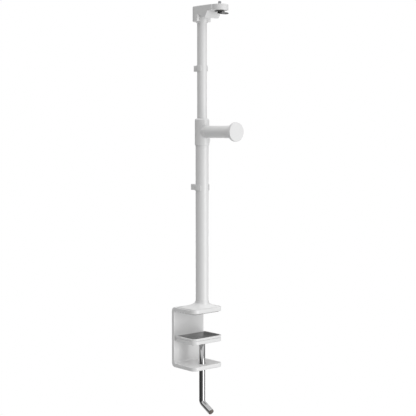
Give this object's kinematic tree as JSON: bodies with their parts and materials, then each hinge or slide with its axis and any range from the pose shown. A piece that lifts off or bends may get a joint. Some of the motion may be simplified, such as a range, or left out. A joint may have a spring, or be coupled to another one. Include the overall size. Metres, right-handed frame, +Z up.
{
  "type": "desk clamp telescopic pole stand",
  "caption": "Desk-clamp telescopic pole: C-bracket with screw jaw, two tubes, lock collar with side handle, cable clips, and a swivel head with a device screw.",
  "frame": {"origin": "on the pole's axis, on the underside of the clamp's desk pad, where it sits on the table top", "axes": "+Z up along the pole, -Y towards the front (clamp arms, handle and head point that way), X across the clamp"},
  "size_m": [0.079, 0.1473, 0.8071],
  "materials": {
    "stand_paint": "satin powder coat, white",
    "jaw_paint": "satin powder coat, white",
    "grip_plastic": "satin moulded plastic, white",
    "clip_plastic": "satin moulded plastic, white",
    "pad_rubber": "dark grey rubber with a low sheen",
    "spindle_chrome": "bright chrome plate",
    "plug_plastic": "dark brown plastic",
    "zinc_steel": "zinc plated steel",
    "black_steel": "gloss black plated metal",
    "brass": "turned brass",
    "bush_plastic": "natural acetal",
    "washer_nylon": "natural nylon",
    "tube_aluminium": "satin white powder coat on aluminium",
    "head_aluminium": "satin white powder coat on cast aluminium"
  },
  "bodies": {
    "stand": {"clamp_bracket": "stand_paint", "desk_pad": "pad_rubber", "foot_bolt": "zinc_steel", "spindle_nut": "black_steel", "pole_foot": "stand_paint", "foot_plug": "zinc_steel", "lower_tube": "tube_aluminium", "guide_bush": "bush_plastic", "lock_collar": "head_aluminium", "collar_clamp_screw": "zinc_steel", "brake_shoe": "bush_plastic", "handle_washer": "washer_nylon"},
    "jaw": {"jaw_rim": "jaw_paint", "jaw_pad": "pad_rubber", "jaw_body": "jaw_paint", "jaw_screws": "zinc_steel"},
    "spindle_unit": {"spindle": "spindle_chrome", "spindle_plug": "plug_plastic", "spindle_circlip": "zinc_steel", "thrust_washer": "brass"},
    "lock_handle": {"handle_grip": "grip_plastic", "handle_flange": "grip_plastic", "handle_stud": "zinc_steel"},
    "lower_clip": {"lower_cable_clip": "clip_plastic"},
    "upper_clip": {"upper_cable_clip": "clip_plastic"},
    "upper_pole": {"upper_tube": "tube_aluminium", "slider_bush": "bush_plastic", "tube_end_plug": "bush_plastic", "swivel_insert": "brass", "swivel_collar": "head_aluminium", "swivel_bolt": "zinc_steel"},
    "head": {"head_housing": "head_aluminium", "head_cap": "grip_plastic", "friction_washer": "washer_nylon", "washer_seat": "zinc_steel", "swivel_lock_screw": "zinc_steel"},
    "device_screw": {"mount_stud": "zinc_steel", "thumb_wheel": "black_steel", "wheel_washer": "washer_nylon"},
    "folding_ring": {"d_ring": "black_steel"}
  },
  "joints": [
    {"name": "spindle_turn", "type": "hinge", "parent": "jaw", "child": "spindle_unit", "pos_m": [0, 0, -0.1], "axis": [0, 0, 1], "range_deg": [-4820, 5300]},
    {"name": "jaw_slide", "type": "slide", "parent": "stand", "child": "jaw", "axis": [0, 0, 1], "range_m": [-0.04, 0.044]},
    {"name": "pole_slide", "type": "slide", "parent": "stand", "child": "upper_pole", "axis": [0, 0, 1], "range_m": [-0.09, 0.1]},
    {"name": "handle_turn", "type": "hinge", "parent": "stand", "child": "lock_handle", "pos_m": [0, -0.05, 0.3571], "axis": [0, -1, 0], "range_deg": [0, 270]},
    {"name": "head_swivel", "type": "hinge", "parent": "upper_pole", "child": "head", "pos_m": [0, 0, 0.583], "axis": [0, 0, 1], "range_deg": [-180, 180]},
    {"name": "stud_turn", "type": "hinge", "parent": "head", "child": "device_screw", "pos_m": [0, -0.0512, 0.592], "axis": [0, 0, 1], "continuous": true},
    {"name": "ring_fold", "type": "hinge", "parent": "device_screw", "child": "folding_ring", "pos_m": [0, -0.0512, 0.5843], "axis": [0.4226, 0.9063, 0], "range_deg": [-4, 75]},
    {"name": "lower_clip_slide", "type": "slide", "parent": "stand", "child": "lower_clip", "axis": [0, 0, 1], "range_m": [-0.18, 0.072]},
    {"name": "upper_clip_slide", "type": "slide", "parent": "upper_pole", "child": "upper_clip", "axis": [0, 0, 1], "range_m": [0, 0.08]}
  ],
  "couplings": [
    {"joint": "spindle_turn", "follows": "jaw_slide", "rad_per_m": 2094.4}
  ]
}
